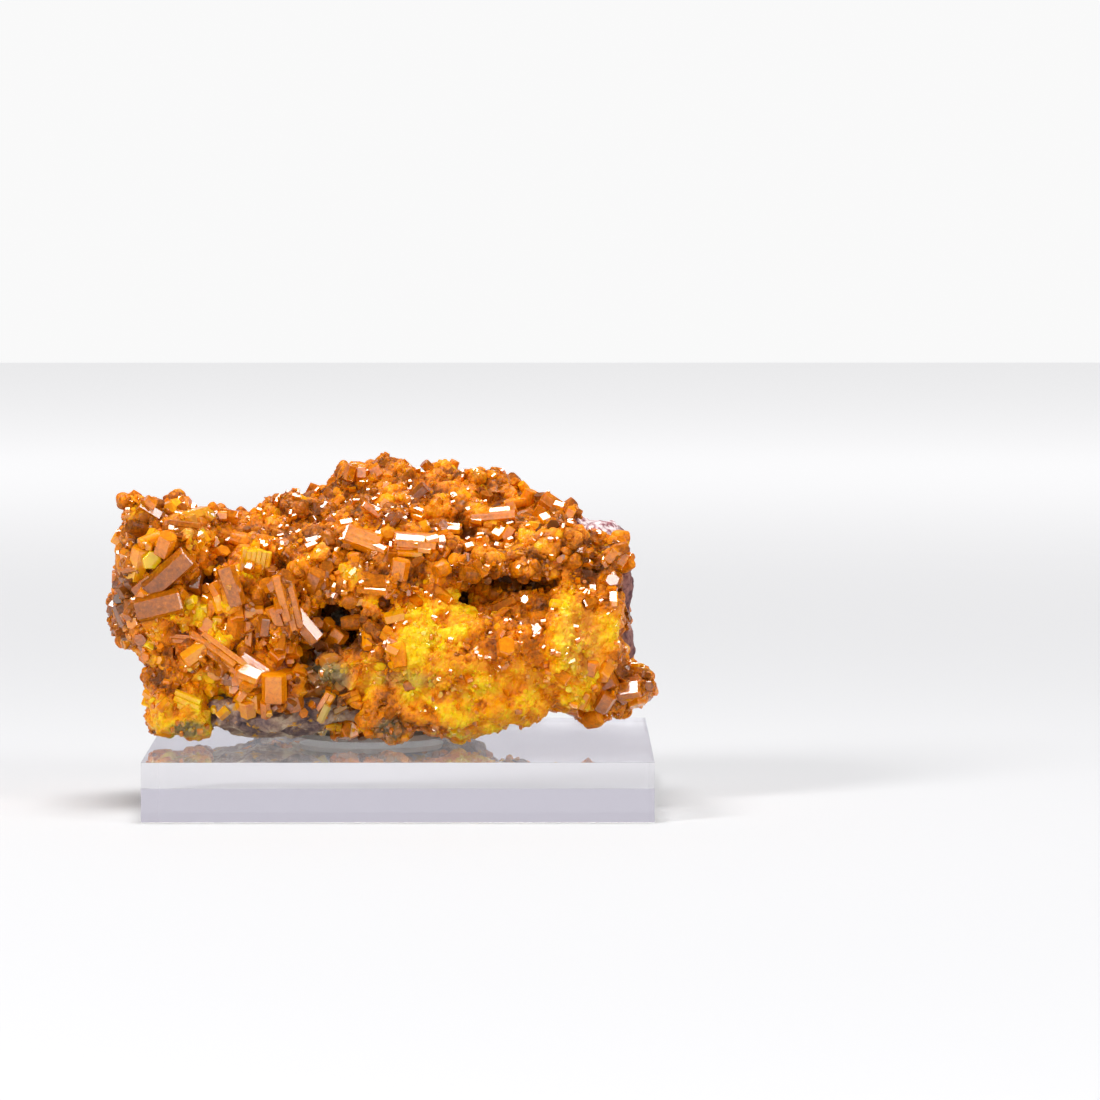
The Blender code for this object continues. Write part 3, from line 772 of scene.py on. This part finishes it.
def mixed(tree, share, first, second, blend="MIX"):
    """A mix of two colours by a share; each of them is a socket or a colour."""
    node = add_node(tree, "ShaderNodeMix", data_type="RGBA", blend_type=blend)
    for socket, value in ((node.inputs[0], share), (node.inputs[6], first), (node.inputs[7], second)):
        if isinstance(value, bpy.types.NodeSocket):
            tree.links.new(value, socket)
        elif isinstance(value, tuple):
            socket.default_value = (*value, 1.0)
        else:
            socket.default_value = value
    return node.outputs[2]


def calc(tree, operation, first, second):
    node = add_node(tree, "ShaderNodeMath", operation=operation, use_clamp=False)
    for socket, value in zip(node.inputs, (first, second)):
        if isinstance(value, bpy.types.NodeSocket):
            tree.links.new(value, socket)
        else:
            socket.default_value = value
    return node.outputs[0]


def noise_node(tree, scale, detail=3.0, roughness=0.55):
    """Noise by place, where scale is in lumps per millimetre."""
    spot = add_node(tree, "ShaderNodeTexCoord")
    node = add_node(tree, "ShaderNodeTexNoise")
    node.inputs["Scale"].default_value = scale / MM
    node.inputs["Detail"].default_value = detail
    node.inputs["Roughness"].default_value = roughness
    tree.links.new(spot.outputs["Object"], node.inputs["Vector"])
    return node.outputs["Fac"]


def value_of(tree, name):
    return add_node(tree, "ShaderNodeAttribute", attribute_name=name).outputs["Fac"]


TONE_STOPS = [
    (0.00, (0.140, 0.038, 0.001)),
    (0.25, (0.420, 0.110, 0.001)),
    (0.50, (0.820, 0.240, 0.001)),
    (0.75, (0.930, 0.400, 0.002)),
    (1.00, (0.960, 0.640, 0.006)),
]


def mimetite_material(name, roughness, bump, gloss, mottle, speckle):
    material, tree, shader = node_material(name)
    shader.inputs["Specular IOR Level"].default_value = gloss
    shader.inputs["Subsurface Weight"].default_value = 0.4
    shader.inputs["Subsurface Radius"].default_value = (1.0, 0.4, 0.06)
    shader.inputs["Subsurface Scale"].default_value = 0.5 * MM
    fine = noise_node(tree, 1.6)
    patchy = calc(tree, "MULTIPLY", calc(tree, "SUBTRACT", fine, 0.5), mottle)
    grain = calc(tree, "MULTIPLY", calc(tree, "SUBTRACT", noise_node(tree, 3.4, 4.0, 0.65), 0.5), speckle)
    tone = calc(tree, "ADD", calc(tree, "ADD", value_of(tree, "tone"), patchy), grain)
    # Painted shade: the tone is darkened in crevices, hollows and at the roots of the crystals
    tone = calc(tree, "SUBTRACT", tone, calc(tree, "MULTIPLY", value_of(tree, "painted_shade"), 0.28))
    colour = ramp(tree, tone, TONE_STOPS)
    grey = mixed(tree, noise_node(tree, 0.8), (0.10, 0.075, 0.05), (0.33, 0.27, 0.13))
    colour = mixed(tree, value_of(tree, "grey"), colour, grey)
    tree.links.new(colour, shader.inputs["Base Color"])
    rough = ramp(tree, noise_node(tree, 0.9), [(0.3, (roughness * 0.5,) * 3), (0.7, (roughness * 1.6,) * 3)])
    tree.links.new(rough, shader.inputs["Roughness"])
    shader.inputs["IOR"].default_value = 1.9
    bumps = add_node(tree, "ShaderNodeBump")
    bumps.inputs["Strength"].default_value = bump
    bumps.inputs["Distance"].default_value = 0.08 * MM
    streaks = add_node(tree, "ShaderNodeTexNoise", noise_dimensions="1D")
    streaks.inputs["Scale"].default_value = 4.0
    tree.links.new(value_of(tree, "stripe"), streaks.inputs["W"])
    relief = calc(tree, "ADD", noise_node(tree, 5.0), streaks.outputs["Fac"])
    tree.links.new(relief, bumps.inputs["Height"])
    tree.links.new(bumps.outputs["Normal"], shader.inputs["Normal"])
    return material


def rock_material():
    material, tree, shader = node_material("host_rock")
    colour = ramp(tree, noise_node(tree, 0.4, 6.0, 0.65), [
        (0.32, (0.030, 0.022, 0.028)),
        (0.42, (0.170, 0.105, 0.100)),
        (0.50, (0.360, 0.230, 0.170)),
        (0.58, (0.560, 0.430, 0.290)),
        (0.68, (0.760, 0.660, 0.480)),
    ])
    stain = ramp(tree, noise_node(tree, 0.9, 3.0), [(0.58, (0.0, 0.0, 0.0)), (0.66, (1.0, 1.0, 1.0))])
    colour = mixed(tree, stain, colour, (0.70, 0.33, 0.02))
    pale = ramp(tree, noise_node(tree, 1.6, 4.0), [(0.40, (0.30, 0.09, 0.11)), (0.56, (0.86, 0.72, 0.72))])
    colour = mixed(tree, value_of(tree, "pale"), colour, pale)
    red = ramp(tree, noise_node(tree, 1.2, 4.0), [(0.38, (0.09, 0.022, 0.03)), (0.64, (0.34, 0.14, 0.11))])
    colour = mixed(tree, value_of(tree, "red"), colour, red)
    tree.links.new(colour, shader.inputs["Base Color"])
    shader.inputs["Roughness"].default_value = 0.7
    bumps = add_node(tree, "ShaderNodeBump")
    bumps.inputs["Strength"].default_value = 0.8
    bumps.inputs["Distance"].default_value = 0.2 * MM
    tree.links.new(noise_node(tree, 2.5, 5.0), bumps.inputs["Height"])
    tree.links.new(bumps.outputs["Normal"], shader.inputs["Normal"])
    return material


def acrylic_material():
    material, tree, shader = node_material("clear_acrylic")
    shader.inputs["Base Color"].default_value = (0.99, 0.99, 0.99, 1.0)
    worn = ramp(tree, noise_node(tree, 0.12, 6.0, 0.7), [(0.45, (0.0, 0.0, 0.0)), (0.75, (0.06, 0.06, 0.06))])
    tree.links.new(worn, shader.inputs["Roughness"])
    shader.inputs["IOR"].default_value = 1.49
    shader.inputs["Transmission Weight"].default_value = 1.0
    absorb = add_node(tree, "ShaderNodeVolumeAbsorption")
    absorb.inputs["Color"].default_value = (0.50, 0.47, 0.56, 1.0)
    absorb.inputs["Density"].default_value = ACRYLIC_DENSITY
    tree.links.new(absorb.outputs["Volume"], tree.nodes["Material Output"].inputs["Volume"])
    return material


def tack_material():
    material, tree, shader = node_material("clear_tack")
    cloudy = ramp(tree, noise_node(tree, 0.4), [(0.3, (0.88, 0.84, 0.79)), (0.7, (0.96, 0.94, 0.90))])
    tree.links.new(cloudy, shader.inputs["Base Color"])
    shader.inputs["Roughness"].default_value = 0.6
    shader.inputs["Specular IOR Level"].default_value = 0.1
    shader.inputs["IOR"].default_value = 1.45
    shader.inputs["Transmission Weight"].default_value = 0.4
    return material


def make_stage():
    """A pale floor that runs to the horizon, with painted light glowing under the slab as if light came through it.
    """
    half, level = FLOOR_SIDE / 2, -FLOOR_GAP * MM
    points = [(x, y, level) for x, y in ((-half, -half), (half, -half), (half, half), (-half, half))]
    mesh = bpy.data.meshes.new("floor")
    mesh.from_pydata(points, [], [(0, 1, 2, 3)])
    floor = link("floor", mesh)
    material, tree, shader = node_material("floor")
    shader.inputs["Base Color"].default_value = (0.66, 0.66, 0.665, 1.0)
    shader.inputs["Roughness"].default_value = 0.9
    shader.inputs["Emission Color"].default_value = (*SEEN_GLOW, 1.0)
    spot = add_node(tree, "ShaderNodeTexCoord").outputs["Object"]
    far = add_node(tree, "ShaderNodeVectorMath", operation="LENGTH")
    tree.links.new(spot, far.inputs[0])
    fade = add_node(tree, "ShaderNodeMapRange", interpolation_type="SMOOTHSTEP")
    fade.inputs["From Min"].default_value, fade.inputs["From Max"].default_value = FLOOR_FADE
    fade.inputs["To Max"].default_value = FAR_GLOW
    tree.links.new(far.outputs["Value"], fade.inputs["Value"])
    place = add_node(tree, "ShaderNodeSeparateXYZ")
    tree.links.new(spot, place.inputs[0])
    across, along = (calc(tree, "ABSOLUTE", place.outputs[way], 0.0) for way in ("X", "Y"))
    # Painted light: the floor glows under the slab, standing in for light that passes through it
    under = calc(tree, "LESS_THAN", calc(tree, "MAXIMUM", across, along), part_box("display_slab")[1][0])
    strength = calc(tree, "ADD", fade.outputs["Result"], calc(tree, "MULTIPLY", under, UNDER_GLOW))
    tree.links.new(strength, shader.inputs["Emission Strength"])
    floor.data.materials.append(material)


FLOOR_SIDE = 2.4
FLOOR_FADE = (0.1, 0.7)
FAR_GLOW = 0.7
UNDER_GLOW = 0.45
FRONT_GLOW = (0.10, 0.10, 0.105)
BACK_GLOW = (0.66, 0.64, 0.71)
SEEN_GLOW = (0.95, 0.95, 0.95)


def add_softbox(name, place, target, size, watts):
    light = bpy.data.lights.new(name, "AREA")
    light.shape = "RECTANGLE"
    light.size, light.size_y = size
    light.energy = watts
    lamp = link(name, light)
    lamp.location = place
    lamp.rotation_euler = (Vector(target) - Vector(place)).to_track_quat("-Z", "Y").to_euler()


def make_lights():
    world = bpy.data.worlds.new("studio")
    world.use_nodes = True
    tree = world.node_tree
    way = add_node(tree, "ShaderNodeSeparateXYZ")
    tree.links.new(add_node(tree, "ShaderNodeTexCoord").outputs["Generated"], way.inputs[0])
    height = calc(tree, "MULTIPLY", calc(tree, "ABSOLUTE", way.outputs["Z"], 0.0), 1.5)
    back_share = calc(tree, "ADD", calc(tree, "SUBTRACT", way.outputs["Y"], height), 0.4)
    glow = ramp(tree, back_share, [(0.0, FRONT_GLOW), (1.0, BACK_GLOW)])
    seen = add_node(tree, "ShaderNodeLightPath").outputs["Is Camera Ray"]
    glow = mixed(tree, seen, glow, SEEN_GLOW)
    tree.links.new(glow, tree.nodes["Background"].inputs["Color"])
    bpy.context.scene.world = world
    middle = (0.0, 0.0, 0.02)
    add_softbox("overhead", (0.0, 0.05, 0.6), middle, (0.32, 0.26), 3.4)
    add_softbox("left_side", (-0.5, -0.45, 0.4), middle, (0.2, 0.25), 3.4)
    add_softbox("right_side", (0.6, -0.35, 0.3), middle, (0.25, 0.3), 2.0)
    add_softbox("by_camera", (0.1, -1.0, 0.25), middle, (0.5, 0.4), 1.3)


def make_camera():
    data = bpy.data.cameras.new("camera")
    pitch = math.atan2(AIM_DOWN_PX, FOCAL_PX)
    data.sensor_width = SENSOR_MM
    data.lens = FOCAL_PX / math.cos(pitch) * SENSOR_MM / IMAGE_SIDE_PX
    data.clip_start, data.clip_end = 0.05, 20.0
    camera = link("camera", data)
    camera.location = Vector(CAMERA_PLACE) * MM
    aim = Vector((AIM_RIGHT_PX, FOCAL_PX, -AIM_DOWN_PX))
    camera.rotation_euler = aim.to_track_quat("-Z", "Y").to_euler()
    bpy.context.scene.camera = camera


def dress(piece, material, slot, *nodes):
    piece.data.materials.clear()
    piece.data.materials.append(material)
    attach(piece, "root")
    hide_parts(*nodes)


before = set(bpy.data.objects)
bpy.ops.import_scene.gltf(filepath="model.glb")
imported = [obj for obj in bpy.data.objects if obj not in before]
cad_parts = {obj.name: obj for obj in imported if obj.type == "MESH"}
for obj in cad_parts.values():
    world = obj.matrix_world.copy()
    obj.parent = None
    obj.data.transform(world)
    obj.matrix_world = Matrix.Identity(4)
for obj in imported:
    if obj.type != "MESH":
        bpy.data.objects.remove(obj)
cad_box = [list(corner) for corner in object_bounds()]

make_camera()
make_lights()
make_stage()
bpy.context.scene.view_settings.view_transform = "Standard"

skin = make_crust_skin()
graph = bpy.context.evaluated_depsgraph_get()
skin_tree = BVHTree.FromObject(skin, graph)
crystal = mimetite_material("mimetite_crystals", 0.1, 0.12, 0.45, 0.3, 0.6)
satin = mimetite_material("mimetite_knobs", 0.36, 0.4, 0.09, 0.45, 0.8)
drusy = mimetite_material("mimetite_druse", 0.36, 1.0, 0.12, 0.7, 0.9)
dress(skin, drusy, "mimetite", "mimetite_crust")
large = make_large_prisms(LARGE_PRISMS, skin_tree, 0.0, SKIN_BACK)
blades = make_large_prisms(OLIVE_BLADES, skin_tree, 0.55, CAVITY_BACK)
bright = make_bright_faces(BRIGHT_FACES + random_glints(skin), skin_tree)
crystals = [
    ("large_prisms", large, TABULAR, BEVELLED_ENDS, crystal),
    ("olive_blades", blades, TABULAR, BEVELLED_ENDS, crystal),
    ("bright_faces", bright, TABULAR, BEVELLED_ENDS, crystal),
]
rock_skin = make_rock_skin()
dress(rock_skin, rock_material(), "rock", "matrix")
for name, base, seed, count, kind, thin_out, outline, profile, material in (
    ("knobs", skin, KNOB_SEED, KNOB_COUNT, KNOBS, knob_thin_out, ROUNDED, BARREL, satin),
    ("medium_prisms", skin, MEDIUM_SEED, MEDIUM_COUNT, MEDIUM, medium_thin_out, HEXAGON, BEVELLED_ENDS, crystal),
    ("fine_prisms", skin, FINE_SEED, FINE_COUNT, FINE, fine_thin_out, HEXAGON, PLAIN_ENDS, crystal),
    ("rim_prisms", rock_skin, RIM_SEED, RIM_COUNT, RIM, rim_thin_out, HEXAGON, BEVELLED_ENDS, crystal),
):
    prisms = scattered_prisms(base, count, np.random.default_rng(seed), kind, thin_out)
    hidden = near_large(prisms["centre"], large) | near_large(prisms["centre"], bright)
    crystals.append((name, {key: rows[~hidden] for key, rows in prisms.items()}, outline, profile, material))
for name, prisms, outline, profile, material in crystals:
    piece = add_prisms(name, prisms, outline, profile, rounded=profile is BARREL)
    dress(piece, material, "mimetite", "mimetite_crust")
dress(make_acrylic_slab(), acrylic_material(), "clear_acrylic", "display_slab")
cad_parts["tack_dot"].data.materials.clear()
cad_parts["tack_dot"].data.materials.append(tack_material())
